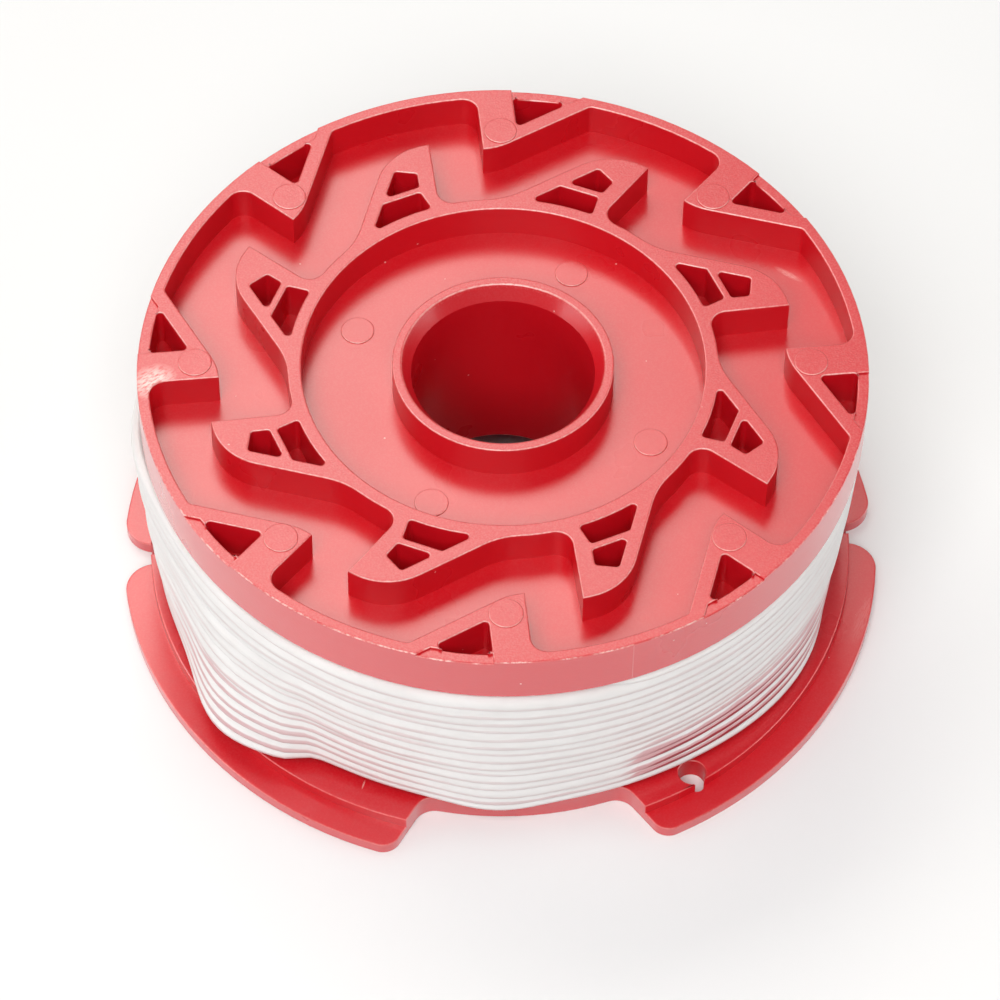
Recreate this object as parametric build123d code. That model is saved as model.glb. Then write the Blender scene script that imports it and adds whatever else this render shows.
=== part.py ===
from build123d import *
import os
from math import cos, radians, sin, sqrt

# Trimmer line spool, in millimetres and degrees.
# The bore's axis is Z, the rest face of the lower flange is Z = 0, and the feed teeth face up.

# Heights
total_height = 36.7
rim_height = 6.6
web = 2.2
lip_thickness = 1.6
plate_thickness = 3.0
tube_bottom = 9.4

# Round parts
rim_diameter = 84.0
rim_wall = 1.3
ring_bore = 46.4
ring_wall = 1.55
collar_diameter = 25.5
bore_diameter = 21.2
lead_in_width = 1.1
lead_in_depth = 1.8
line_depth = 5.5
drum_wall = 2.0

# Outer teeth, which hang inwards from the rim
tooth_count = 8
outer_phase = 4.9
outer_reach = 8.1
flank_lean = 1.8
slope_angle = 26.7
tip_drop = 0.8
tip_run = 3.5
outer_corner_radius = 1.9
outer_blend_radius = 0.9

# Inner teeth, which stand outwards on the ring
inner_phase = 15.6
inner_reach = 9.6
inner_flank_lean = 7.0
land_length = 1.0
back_radius = 7.0
back_angle = 61.0
inner_root_radius = 1.9
back_root_radius = 9.0

# Core-outs in the teeth
pocket_depth = 5.2
flank_bar = 4.35
slope_bar = 1.75
triangle_round = 0.5
back_bar = 1.58
inner_flank_bar = 2.0
rib_height = 3.05
rib_tilt = 9.0
rib_width = 0.8
foot_flare = 14.5
cap_bar = 5.05
cap_tilt = -21.0
core_round = 0.45
rim_drop = 0.35

# Ejector marks
mark_diameter = 3.9
mark_height = 0.15
mark_to_flank = 2.35
mark_to_slope = 2.1
floor_mark_count = 4
floor_mark_radius = 18.75
floor_mark_phase = 65.2

# Lower flange
lip_width = 3.3
plate_diameter = 84.2
notch_angle = -85.0
notch_depth = 7.2
notch_root_width = 23.2
notch_mouth_width = 32.8
notch_root_radius = 2.5
lobe_corner_radius = 2.2
slot_angle = 3.3
slot_clearance = 0.25
slot_length = 4.6
lip_gap = 2.7
lip_corner_radius = 3.6
keyhole_angle = -55.9
keyhole_inset = 1.6
keyhole_diameter = 3.2
keyhole_slot_width = 1.6
keyhole_slot_reach = 0.3

# Line winding
line_diameter = 1.65
winding_play = 0.3
drum_clearance = 0.1
ridge_depth = 0.45
top_turn_inset = 0.5
bottom_turn_inset = 1.7

# Sizes worked out from the driving dimensions
rim_radius = rim_diameter / 2
rim_inner_radius = rim_radius - rim_wall
ring_inner_radius = ring_bore / 2
ring_outer_radius = ring_inner_radius + ring_wall
outer_tip_radius = rim_inner_radius - outer_reach
inner_tip_radius = ring_outer_radius + inner_reach
plate_radius = plate_diameter / 2
lip_radius = plate_radius + lip_width
drum_diameter = rim_diameter - 2 * line_depth
drum_radius = drum_diameter / 2
rim_bottom = total_height - rim_height
floor_level = rim_bottom + web
track_depth = rim_height - web
slot_width = line_diameter + slot_clearance
far = 2 * lip_radius


def ray(point, angle):
    """A line, as a point and a unit direction at an angle from +X."""
    return Vector(*point), Vector(cos(radians(angle)), sin(radians(angle)))


def shifted(line, distance):
    """The same line moved to its left by a distance."""
    point, way = line
    return point + Vector(-way.Y, way.X) * distance, way


def along(line, distance):
    """The point at a distance along a line."""
    point, way = line
    return point + way * distance


def meet(first, second):
    """The point where two lines cross."""
    (start, way), (other, across) = first, second
    gap = other - start
    share = (gap.X * across.Y - gap.Y * across.X) / (way.X * across.Y - way.Y * across.X)
    return start + way * share


def leave_circle(line, radius):
    """The point where a line that starts inside a circle round the axis leaves it."""
    point, way = line
    middle = point.X * way.X + point.Y * way.Y
    return along(line, sqrt(middle**2 - point.X**2 - point.Y**2 + radius**2) - middle)


def nearest(shape, point):
    """The vertex of a sketch that lies nearest to a point."""
    return shape.vertices().sort_by_distance(point)[0]


def round_copies(shape, point, radius, angles):
    """Fillets the sketch's vertex at a point and at the copies of that point turned by angles."""
    for angle in angles:
        spot = point.rotate(Axis.Z, angle)
        shape = fillet(nearest(shape, spot), radius)
    return shape


def closed_face(*points):
    """A face inside straight lines through the points."""
    return make_face(Polyline(*points, close=True))


def tooth_angles(phase):
    """The turns that carry a tooth drawn with its tip on +Y to each of its places."""
    return [phase + step * 360 / tooth_count for step in range(tooth_count)]


def turned(shape, angles):
    """Copies of a shape turned about the axis."""
    return [Rot(0, 0, angle) * shape for angle in angles]


# Lines that bound one outer tooth, drawn with its tip on +Y
outer_tip = Vector(0, outer_tip_radius)
outer_flank = ray((0, outer_tip_radius), 90 + flank_lean)
outer_slope = ray((0, outer_tip_radius - tip_drop), slope_angle)
outer_angles = tooth_angles(outer_phase)

# Lines that bound one inner tooth, drawn with its tip on +Y
inner_tip = Vector(0, inner_tip_radius)
inner_flank = ray((0, inner_tip_radius), 270 - inner_flank_lean)
back_start = Vector(-land_length, inner_tip_radius)
back_turn = Vector(-sin(radians(back_angle)), cos(radians(back_angle)) - 1) * back_radius
back_line = ray(back_start + back_turn, back_angle)
inner_angles = tooth_angles(inner_phase)


def outer_teeth():
    """The rim wall with its barbed teeth, seen from above."""
    slope_start = along(outer_slope, tip_run)
    edges = [
        Line(outer_tip, along(outer_flank, far)),
        Line(along(outer_flank, far), along(outer_slope, far)),
        Line(along(outer_slope, far), slope_start),
        TangentArc(slope_start, outer_tip, tangent=outer_slope[1] * -1),
    ]
    tooth = make_face(edges) & Circle(rim_radius - rim_wall / 2)
    crown = Circle(rim_radius) - Circle(rim_inner_radius) + turned(tooth, outer_angles)
    corner = leave_circle(outer_flank, rim_inner_radius)
    blend = leave_circle(outer_slope, rim_inner_radius)
    crown = round_copies(crown, corner, outer_corner_radius, outer_angles)
    return round_copies(crown, blend, outer_blend_radius, outer_angles)


def inner_teeth():
    """The ring with its shark-fin teeth, seen from above."""
    back_foot = along(back_line, -inner_reach * 2)
    edges = [
        Line(inner_tip, back_start),
        TangentArc(back_start, back_line[0], tangent=(-1, 0)),
        Line(back_line[0], back_foot),
        Line(back_foot, along(inner_flank, inner_reach * 2)),
        Line(along(inner_flank, inner_reach * 2), inner_tip),
    ]
    tooth = make_face(edges) - Circle(ring_outer_radius - ring_wall / 2)
    star = Circle(ring_outer_radius) - Circle(ring_inner_radius) + turned(tooth, inner_angles)
    flank_root = leave_circle((along(inner_flank, inner_reach), inner_flank[1] * -1), ring_outer_radius)
    back_root = leave_circle((back_foot, back_line[1]), ring_outer_radius)
    star = round_copies(star, flank_root, inner_root_radius, inner_angles)
    return round_copies(star, back_root, back_root_radius, inner_angles)


def outer_wedge():
    """The wedge behind one outer tooth's two bars, out past the rim."""
    bar_side = shifted(outer_flank, -flank_bar)
    slope_side = shifted(outer_slope, slope_bar)
    corner = meet(bar_side, slope_side)
    return closed_face(corner, along((corner, bar_side[1]), far), along((corner, slope_side[1]), far))


def triangle_pocket():
    """The core-out of one outer tooth, up to the rim wall."""
    pocket = outer_wedge() & Circle(rim_inner_radius)
    return fillet(pocket.vertices(), triangle_round)


def rim_step():
    """The lowered stretch of rim beside one outer tooth."""
    return outer_wedge() & (Circle(rim_radius + rim_wall) - Circle(rim_inner_radius))


def fin_pockets():
    """The two core-outs of one inner tooth, with the rib between them."""
    back_side = shifted(back_line, -back_bar)
    flank_side = shifted(inner_flank, -inner_flank_bar)
    rib = ray((0, ring_outer_radius + rib_height), rib_tilt)
    above_rib = shifted(rib, rib_width)
    cap = ray((0, inner_tip_radius - cap_bar), cap_tilt)
    foot = ray((0, 0), 0)
    rib_end = meet(flank_side, rib)
    flared_side = ray(rib_end, 270 + foot_flare)
    low = closed_face(meet(back_side, rib), rib_end, meet(flared_side, foot), meet(back_side, foot))
    low = low - Circle(ring_outer_radius)
    high = closed_face(
        meet(back_side, above_rib),
        meet(flank_side, above_rib),
        meet(flank_side, cap),
        meet(back_side, cap),
    )
    return [fillet(pocket.vertices(), core_round) for pocket in (low, high)]


def mark_centre():
    """Where the ejector mark sits on one outer tooth."""
    return meet(shifted(outer_flank, -mark_to_flank), shifted(outer_slope, mark_to_slope))


def ejector_marks():
    """Low round marks on the outer teeth and on the floor round the collar."""
    mark = Circle(mark_diameter / 2)
    on_tooth = extrude(Pos(mark_centre()) * mark, mark_height)
    on_floor = extrude(Pos(floor_mark_radius, 0) * mark, mark_height)
    floor_turns = [floor_mark_phase + step * 360 / floor_mark_count for step in range(floor_mark_count)]
    return [Pos(0, 0, total_height) * copy for copy in turned(on_tooth, outer_angles)] + [
        Pos(0, 0, floor_level) * copy for copy in turned(on_floor, floor_turns)
    ]


def round_core():
    """The drum, web, collar and bore tube, turned about the axis."""
    bore = bore_diameter / 2
    collar = collar_diameter / 2
    inside = drum_radius - drum_wall
    profile = Polyline(
        (bore, tube_bottom),
        (bore, total_height - lead_in_depth),
        (bore + lead_in_width, total_height),
        (collar, total_height),
        (collar, floor_level),
        (rim_radius, floor_level),
        (rim_radius, rim_bottom),
        (drum_radius, rim_bottom),
        (drum_radius, 0),
        (inside, 0),
        (inside, rim_bottom),
        (collar, rim_bottom),
        (collar, tube_bottom),
        close=True,
    )
    return revolve(Plane.XZ * make_face(profile), Axis.Z)


def upper_teeth():
    """Both rows of teeth, standing on the web."""
    raised = extrude(outer_teeth(), track_depth) + extrude(inner_teeth(), track_depth)
    return Pos(0, 0, floor_level) * raised


def tooth_cuts():
    """Everything that is cut down into the teeth from above."""
    triangle = extrude(triangle_pocket(), -pocket_depth)
    step = extrude(rim_step(), -rim_drop)
    fins = [extrude(pocket, -pocket_depth) for pocket in fin_pockets()]
    cuts = turned(triangle, outer_angles) + turned(step, outer_angles)
    for fin in fins:
        cuts += turned(fin, inner_angles)
    return [Pos(0, 0, total_height) * cut for cut in cuts]


def half_turns(angle):
    """A place on the lower flange and its twin half a turn on."""
    return [angle, angle + 180]


def flange_outline():
    """The lower flange from above, with its two wide notches."""
    root = lip_radius - notch_depth
    half_root = notch_root_width / 2
    half_mouth = notch_mouth_width / 2
    side = Vector(lip_radius, half_mouth) - Vector(root, half_root)
    side = side.normalized()
    root_corner = Vector(sqrt(root**2 - half_root**2), half_root)
    right_side = (root_corner, side)
    start = along(right_side, -notch_depth / 2)
    end = along(right_side, far)
    notch = closed_face(start, end, (end.X, -end.Y), (start.X, -start.Y)) - Circle(root)
    outline = Circle(lip_radius) - turned(notch, half_turns(notch_angle))
    mouth_corner = leave_circle(right_side, lip_radius)
    for spot, radius in ((root_corner, notch_root_radius), (mouth_corner, lobe_corner_radius)):
        mirrored = Vector(spot.X, -spot.Y)
        outline = round_copies(outline, spot, radius, half_turns(notch_angle))
        outline = round_copies(outline, mirrored, radius, half_turns(notch_angle))
    return outline


def lip():
    """The thin outer lip, open at the line slots."""
    gap = Pos(plate_radius - lip_width + far / 2, 0) * Rectangle(far, lip_gap)
    outline = flange_outline() - turned(gap, half_turns(slot_angle))
    corner = Vector(sqrt(lip_radius**2 - (lip_gap / 2) ** 2), lip_gap / 2)
    for spot in (corner, Vector(corner.X, -corner.Y)):
        outline = round_copies(outline, spot, lip_corner_radius, half_turns(slot_angle))
    return extrude(outline, lip_thickness)


def line_slot():
    """One slot that holds the line's end, from the plate's edge inwards."""
    start = plate_radius - slot_length
    run = Pos(start + far / 2, 0) * Rectangle(far, slot_width)
    return run + Pos(start, 0) * Circle(slot_width / 2)


def keyhole():
    """The keyhole beside the front notch, with its slot rounded at the lip."""
    half_width = keyhole_slot_width / 2
    centre = plate_radius - keyhole_inset
    slot_end = plate_radius + keyhole_slot_reach - half_width
    run = slot_end - centre
    hole = Pos(centre, 0) * Circle(keyhole_diameter / 2)
    slot = Pos(centre + run / 2, 0) * Rectangle(run, keyhole_slot_width)
    rounded_end = Pos(slot_end, 0) * Circle(half_width)
    return Rot(0, 0, keyhole_angle) * (hole + slot + rounded_end)


def lower_flange():
    """The plate under the winding and the lip round it."""
    plate = extrude(flange_outline() & Circle(plate_radius), plate_thickness)
    through = extrude(Circle(drum_radius - drum_wall / 2), plate_thickness)
    cuts = turned(extrude(line_slot(), plate_thickness), half_turns(slot_angle))
    cuts.append(extrude(keyhole(), plate_thickness))
    return lip() + plate - through - cuts


def spool_body():
    """The whole moulding."""
    body = round_core() + lower_flange() + upper_teeth()
    return body - tooth_cuts() + ejector_marks()


def line_winding():
    """The wound line as one ring, with a ridge for each outer turn."""
    bottom = plate_thickness
    top = rim_bottom - winding_play
    turns = int((top - bottom) / line_diameter)
    pitch = (top - bottom) / turns
    inner = drum_radius + drum_clearance
    taper = (bottom_turn_inset - top_turn_inset) / (turns - 1)
    first_crest = rim_radius - bottom_turn_inset
    outline = [(inner, top), (inner, bottom), (first_crest - ridge_depth, bottom)]
    for turn in range(turns):
        crest = first_crest + taper * turn
        low = bottom + turn * pitch
        outline.append((crest, low + pitch / 2))
        outline.append((crest - ridge_depth, low + pitch))
    return revolve(Plane.XZ * closed_face(*outline), Axis.Z)


os.makedirs("parts", exist_ok=True)
export_step(spool_body(), "parts/spool_body.step")
export_step(line_winding(), "parts/line_winding.step")
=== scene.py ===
"""Studio scene of a trimmer line spool: a moulded red body wound with clear nylon line."""

import logging
import math
from dataclasses import dataclass
from enum import Enum
from typing import NamedTuple

import bmesh
import bpy
import numpy as np
from mathutils import Matrix, Vector


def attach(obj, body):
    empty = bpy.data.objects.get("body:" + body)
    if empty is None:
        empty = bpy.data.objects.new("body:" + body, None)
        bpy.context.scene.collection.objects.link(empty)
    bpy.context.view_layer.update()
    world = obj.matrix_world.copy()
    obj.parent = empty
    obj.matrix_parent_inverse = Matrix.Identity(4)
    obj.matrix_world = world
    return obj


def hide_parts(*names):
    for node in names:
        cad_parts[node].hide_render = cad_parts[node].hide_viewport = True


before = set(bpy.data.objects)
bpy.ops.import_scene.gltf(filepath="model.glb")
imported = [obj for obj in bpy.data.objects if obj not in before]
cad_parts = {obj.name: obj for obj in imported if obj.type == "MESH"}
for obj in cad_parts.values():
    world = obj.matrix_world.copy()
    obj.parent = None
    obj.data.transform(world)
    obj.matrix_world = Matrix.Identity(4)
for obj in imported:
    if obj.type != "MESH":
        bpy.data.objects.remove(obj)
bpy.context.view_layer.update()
MM = 0.001
TINY = 1e-9
log = logging.getLogger("trimmer_spool")

Colour = tuple[float, float, float, float]
Point = tuple[float, float, float]
Socket = bpy.types.NodeSocket


class Level(Enum):
    """Heights of the moulding's faces, in millimetres above the rest face."""

    LIP = 1.6
    PLATE = 3.0
    RIM_BOTTOM = 30.1
    TRACK_FLOOR = 32.3
    TOOTH_TOP = 36.7

    @property
    def metres(self) -> float:
        """The height in the scene's own unit."""
        return self.value * MM


class FaceKind(Enum):
    """What a triangle of the moulding belongs to."""

    WALL = 0
    LEVEL = 1
    ROUNDING = 2


class Span(NamedTuple):
    """A range of numbers, from its start to its end."""

    start: float
    end: float


WHOLE = Span(0.0, 1.0)


def degrees_apart(angles: np.ndarray, centre: float) -> np.ndarray:
    """Signed difference of angles from a centre, wrapped to the half turn on either side.

    Args:
        angles: Angles in degrees.
        centre: The angle to measure from, in degrees.

    Returns:
        Differences between -180 and 180 degrees.
    """
    return (angles - centre + 180.0) % 360.0 - 180.0


@dataclass(frozen=True)
class Bell:
    """A bell curve round the axis, with its centre and its standard deviation in degrees."""

    amount: float
    centre: float
    width: float

    def at(self, angles: np.ndarray) -> np.ndarray:
        """The amount times e to the power of minus half the squared distance in widths."""
        return self.amount * np.exp(-0.5 * (degrees_apart(angles, self.centre) / self.width) ** 2)


@dataclass(frozen=True)
class Step:
    """A smooth step up from 0 to 1, which passes one half at its middle."""

    middle: float
    width: float

    def at(self, values: np.ndarray) -> np.ndarray:
        """The logistic curve of the distance from the middle in widths."""
        return 1.0 / (1.0 + np.exp(-(values - self.middle) / self.width))

    def below(self, values: np.ndarray) -> np.ndarray:
        """One minus the step."""
        return 1.0 - self.at(values)


@dataclass(frozen=True)
class Stretch:
    """A stretch of a scale: 1 between a step up and a step down, and 0 on either side."""

    start: Step
    end: Step

    def at(self, values: np.ndarray) -> np.ndarray:
        """The first step times one minus the second."""
        return self.start.at(values) * self.end.below(values)


def smooth_wander(length: int, spacing: int, amount: float, seed: int) -> np.ndarray:
    """A seeded random walk without steps: random knots joined by cosine easing.

    Args:
        length: Number of samples.
        spacing: Samples between knots.
        amount: Standard deviation of the knots.
        seed: Seed of the random numbers.

    Returns:
        One value for each sample.
    """
    spare_knots = 3
    knots = np.random.default_rng(seed).normal(0.0, amount, length // spacing + spare_knots)
    place = np.arange(length) / spacing
    whole = place.astype(int)
    share = 0.5 - 0.5 * np.cos(np.pi * (place - whole))
    return knots[whole] * (1.0 - share) + knots[whole + 1] * share


def crossed(points: np.ndarray, faces: np.ndarray) -> np.ndarray:
    """The cross product of two sides of each triangle: its normal, as long as twice its area.

    Args:
        points: Vertex places.
        faces: Triangles.

    Returns:
        One vector for each triangle.
    """
    corner = points[faces]
    return np.cross(corner[:, 1] - corner[:, 0], corner[:, 2] - corner[:, 0])


def dots(first: np.ndarray, second: np.ndarray) -> np.ndarray:
    """The dot product of each row of one array with the same row of another."""
    return np.einsum("ij,ij->i", first, second)


def mesh_object(name: str, points: np.ndarray, faces: list[list[int]]) -> bpy.types.Object:
    """A new smooth-shaded object at the origin.

    Args:
        name: Name of the object and its mesh.
        points: Vertex places in metres, one row each.
        faces: Vertex indices, one list for each face.

    Returns:
        The object, linked to the scene.
    """
    mesh = bpy.data.meshes.new(name)
    mesh.from_pydata(points.tolist(), [], faces)
    mesh.update()
    mesh.shade_smooth()
    piece = bpy.data.objects.new(name, mesh)
    bpy.context.scene.collection.objects.link(piece)
    return piece


class Graph:
    """A node tree with short ways to add nodes and join them."""

    def __init__(self, tree: bpy.types.NodeTree) -> None:
        """Takes the tree to work on."""
        self.tree = tree

    def add(self, kind: str, inputs: dict | None = None, **settings: object) -> bpy.types.Node:
        """Adds a node, sets its properties and fills or links its inputs.

        Args:
            kind: Blender's type name of the node.
            inputs: Values or sockets for the inputs, by name or number.
            settings: Properties of the node.

        Returns:
            The new node.
        """
        node = self.tree.nodes.new(kind)
        for key, value in settings.items():
            setattr(node, key, value)
        for key, value in (inputs or {}).items():
            if isinstance(value, Socket):
                self.join(value, node.inputs[key])
            else:
                node.inputs[key].default_value = value
        return node

    def join(self, value: Socket, target: Socket) -> None:
        """Links an output to an input."""
        self.tree.links.new(value, target)

    def attribute(self, name: str) -> Socket:
        """The value of one of the mesh's own attributes."""
        return self.add("ShaderNodeAttribute", attribute_name=name).outputs["Fac"]

    def group(self, tree: bpy.types.NodeTree, inputs: dict) -> bpy.types.bpy_prop_collection:
        """The outputs of a node group with its inputs filled or linked."""
        return self.add("ShaderNodeGroup", inputs, node_tree=tree).outputs

    def axes(self, vector: Socket) -> bpy.types.bpy_prop_collection:
        """The parts of a vector, as sockets named X, Y and Z."""
        return self.add("ShaderNodeSeparateXYZ", {0: vector}).outputs

    def math(self, operation: str, *values: object) -> Socket:
        """The result of a Math node on sockets or numbers."""
        return self.add("ShaderNodeMath", dict(enumerate(values)), operation=operation).outputs[0]

    def times(self, first: object, second: object) -> Socket:
        """The product of two sockets or numbers."""
        return self.math("MULTIPLY", first, second)

    def vector(self, operation: str, *values: object) -> Socket:
        """The vector that a Vector Math node gives."""
        node = self.add("ShaderNodeVectorMath", dict(enumerate(values)), operation=operation)
        return node.outputs["Vector"]

    def measure(self, operation: str, *values: object) -> Socket:
        """The number that a Vector Math node gives: a length, a distance or a dot product."""
        node = self.add("ShaderNodeVectorMath", dict(enumerate(values)), operation=operation)
        return node.outputs["Value"]

    def spread(self, value: Socket, given: Span, wanted: Span = WHOLE) -> Socket:
        """A value carried from one range to another, held at its ends."""
        return self.add("ShaderNodeMapRange", dict(enumerate((value, *given, *wanted)))).outputs[0]

    def mix(self, share: Socket, first: Socket, second: Socket) -> Socket:
        """A mix of two numbers by a share."""
        return self.add("ShaderNodeMix", {0: share, 2: first, 3: second}).outputs[0]

    def blend(self, share: Socket, first: object, second: object) -> Socket:
        """A mix of two colours by a share."""
        return self.add("ShaderNodeMix", {0: share, 6: first, 7: second}, data_type="RGBA").outputs[2]


class GroupParts(NamedTuple):
    """A node group under construction: its graph, and its input and output nodes."""

    graph: Graph
    given: bpy.types.Node
    result: bpy.types.Node


def node_group(name: str, inputs: dict[str, str], outputs: tuple[str, ...]) -> GroupParts:
    """Starts a shader node group with named sockets.

    Args:
        name: Name of the group.
        inputs: Kind of each input socket, Float or Vector, by name.
        outputs: Names of the output sockets, which are numbers.

    Returns:
        The parts to fill in.
    """
    tree = bpy.data.node_groups.new(name, "ShaderNodeTree")
    for label, kind in inputs.items():
        tree.interface.new_socket(label, in_out="INPUT", socket_type="NodeSocket" + kind)
    for label in outputs:
        tree.interface.new_socket(label, in_out="OUTPUT", socket_type="NodeSocketFloat")
    graph = Graph(tree)
    return GroupParts(graph, graph.add("NodeGroupInput"), graph.add("NodeGroupOutput"))


class MaterialParts(NamedTuple):
    """A material under construction: the material, its graph and its shader."""

    material: bpy.types.Material
    graph: Graph
    shader: bpy.types.Node


def new_material(name: str, constants: dict[str, object]) -> MaterialParts:
    """Starts a material on one shader.

    Args:
        name: Name of the material.
        constants: Values of the shader's inputs, by name.

    Returns:
        The parts to fill in.
    """
    material = bpy.data.materials.new(name)
    material.use_nodes = True
    shader = material.node_tree.nodes["Principled BSDF"]
    for label, value in constants.items():
        shader.inputs[label].default_value = value
    return MaterialParts(material, Graph(material.node_tree), shader)


@dataclass(frozen=True)
class Pattern:
    """A noise: its cells to a unit of the place it is given, its detail, and the values that it uses."""

    cells: float
    detail: float
    band: Span = WHOLE

    def value(self, graph: Graph, place: Socket, wanted: Span = WHOLE) -> Socket:
        """The noise at a place, with its band carried to a range and held at its ends.

        Args:
            graph: The graph to add it to.
            place: Where to take the noise.
            wanted: The range.

        Returns:
            The value's socket.
        """
        inputs = {"Vector": place, "Scale": self.cells, "Detail": self.detail}
        noise = graph.add("ShaderNodeTexNoise", inputs).outputs[0]
        return graph.spread(noise, self.band, wanted)


@dataclass(frozen=True)
class SpoolPlaces:
    """Tells the moulding's polished faces, its mould seam and its tooth tops from the rest."""

    outer_radius: float = 41.9 * MM
    plate_margin: float = 0.1 * MM
    top_margin: float = 0.4 * MM
    keyhole: Point = (22.71 * MM, -33.54 * MM, 0.0)
    keyhole_reach: float = 3.2 * MM
    floor_polish: float = 0.545
    tooth_polish: float = 0.44
    seam_angle: float = math.radians(-69.3)
    seam_half_width: float = 0.05 * MM

    def tree(self) -> bpy.types.NodeTree:
        """Builds the node group.

        The polish is whole on the walls of the rim and of the lower flange, apart from the
        keyhole's, and partial on level faces. The seam is the part of the rim's wall that is
        within its half width of an upright plane through the axis.

        Returns:
            The group, from a place on the moulding and the mask of its upright walls.
        """
        outputs = ("Radius", "Polish", "Seam", "Tooth Top")
        graph, given, result = node_group("spool_places", {"Place": "Vector", "Upright": "Float"}, outputs)
        place, upright = given.outputs["Place"], given.outputs["Upright"]
        lying = graph.math("SUBTRACT", 1.0, upright)
        flat = graph.vector("MULTIPLY", place, (1.0, 1.0, 0.0))
        radius = graph.measure("LENGTH", flat)
        height = graph.axes(place)["Z"]
        outside = graph.math("GREATER_THAN", radius, self.outer_radius)
        rim = graph.times(outside, graph.math("GREATER_THAN", height, Level.RIM_BOTTOM.metres))
        below = graph.math("LESS_THAN", height, Level.PLATE.metres + self.plate_margin)
        from_keyhole = graph.measure("DISTANCE", flat, self.keyhole)
        flange = graph.times(below, graph.math("GREATER_THAN", from_keyhole, self.keyhole_reach))
        sides = graph.times(graph.math("MAXIMUM", rim, flange), upright)
        high = graph.math("GREATER_THAN", height, Level.TOOTH_TOP.metres - self.top_margin)
        top = graph.times(high, lying)
        level_polish = graph.spread(top, WHOLE, Span(self.floor_polish, self.tooth_polish))
        polish = graph.math("MAXIMUM", sides, graph.times(level_polish, lying))
        across = (math.sin(self.seam_angle), -math.cos(self.seam_angle), 0.0)
        aside = graph.math("ABSOLUTE", graph.measure("DOT_PRODUCT", place, across))
        seam = graph.times(graph.math("LESS_THAN", aside, self.seam_half_width), rim)
        for label, value in zip(outputs, (radius, polish, seam, top)):
            graph.join(value, result.inputs[label])
        return graph.tree


@dataclass(frozen=True)
class EdgeFlashAndHighlight:
    """Pale edges of mould flash and painted highlight: broken along the front of the rim, even elsewhere.
    """

    patches: Pattern = Pattern(420.0, 4.0, Span(0.40, 0.56))
    fray: Pattern = Pattern(2600.0, 3.0, Span(0.36, 0.60))
    front: Span = Span(2.0 * MM, -14.0 * MM)
    rim_radii: Span = Span(41.3 * MM, 42.3 * MM)
    rim_height: float = 30.0 * MM
    ragged_share: Span = Span(0.1, 1.0)
    even_share: Span = Span(0.42, 0.8)
    flange_heights: Span = Span(3.2 * MM, 4.0 * MM)
    flange_share: Span = Span(0.3, 1.0)

    def tree(self) -> bpy.types.NodeTree:
        """Builds the node group.

        The front of the rim takes the product of the two patterns. All other edges take the fine
        one alone, and less of it on the lower flange. Both stand partly for mould flash and partly for
        a painted highlight.

        Returns:
            The group, from the place, the edge mask and the radius.
        """
        inputs = {"Place": "Vector", "Edge": "Float", "Radius": "Float"}
        graph, given, result = node_group("edge_flash_and_highlight", inputs, ("Share",))
        place, radius = given.outputs["Place"], given.outputs["Radius"]
        patches = self.patches.value(graph, place)
        fray = self.fray.value(graph, place)
        axes = graph.axes(place)
        from_rim = graph.math("GREATER_THAN", radius, self.rim_radii.start)
        past_rim = graph.math("GREATER_THAN", radius, self.rim_radii.end)
        high = graph.math("GREATER_THAN", axes["Z"], self.rim_height)
        band = graph.times(graph.math("SUBTRACT", from_rim, past_rim), high)
        front_rim = graph.times(band, graph.spread(axes["Y"], self.front))
        ragged = graph.spread(graph.times(patches, fray), WHOLE, self.ragged_share)
        fade = graph.spread(axes["Z"], self.flange_heights, self.flange_share)
        # Painted highlight in part: an even pale line along all edges away from the rim's front.
        calm = graph.times(graph.spread(fray, WHOLE, self.even_share), fade)
        share = graph.mix(front_rim, calm, ragged)
        graph.join(graph.times(share, given.outputs["Edge"]), result.inputs["Share"])
        return graph.tree


@dataclass(frozen=True)
class DustSpecks:
    """Sparse pale specks: the middles of some cells of a cell pattern."""

    cells: float = 300.0
    speck_size: float = 0.035
    least_pick: float = 0.62
    strength: float = 0.55

    def tree(self) -> bpy.types.NodeTree:
        """Builds the node group.

        Returns:
            The group, from a place on the moulding.
        """
        graph, given, result = node_group("dust_specks", {"Place": "Vector"}, ("Share",))
        inputs = {"Vector": given.outputs["Place"], "Scale": self.cells}
        pattern = graph.add("ShaderNodeTexVoronoi", inputs).outputs
        middle = graph.math("LESS_THAN", pattern["Distance"], self.speck_size)
        picked = graph.math("GREATER_THAN", graph.axes(pattern["Color"])["X"], self.least_pick)
        share = graph.times(graph.times(middle, picked), self.strength)
        graph.join(share, result.inputs["Share"])
        return graph.tree


@dataclass(frozen=True)
class RubbedPatch:
    """A rubbed patch: an ellipse that fades outwards, broken into streaks along its length."""

    fade: Span = Span(0.35, 1.0)
    stretch: Point = (1.6, 3.6, 1.0)
    streaks: Pattern = Pattern(2.4, 4.0, Span(0.36, 0.56))

    def tree(self) -> bpy.types.NodeTree:
        """Builds the node group: the place is turned and divided by the half sizes first.

        Returns:
            The group, from the place and the patch's centre, turn and half sizes.
        """
        inputs = {"Place": "Vector", "Centre": "Vector", "Turn": "Float", "Half Size": "Vector"}
        graph, given, result = node_group("scuff_mark", inputs, ("Share",))
        sockets = given.outputs
        offset = graph.vector("SUBTRACT", sockets["Place"], sockets["Centre"])
        turn_inputs = {"Vector": offset, "Angle": sockets["Turn"]}
        turned = graph.add("ShaderNodeVectorRotate", turn_inputs, rotation_type="Z_AXIS").outputs[0]
        inside = graph.vector("DIVIDE", turned, sockets["Half Size"])
        fading = graph.spread(graph.measure("LENGTH", inside), self.fade, Span(1.0, 0.0))
        streaks = self.streaks.value(graph, graph.vector("MULTIPLY", inside, self.stretch))
        graph.join(graph.times(fading, streaks), result.inputs["Share"])
        return graph.tree


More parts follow.
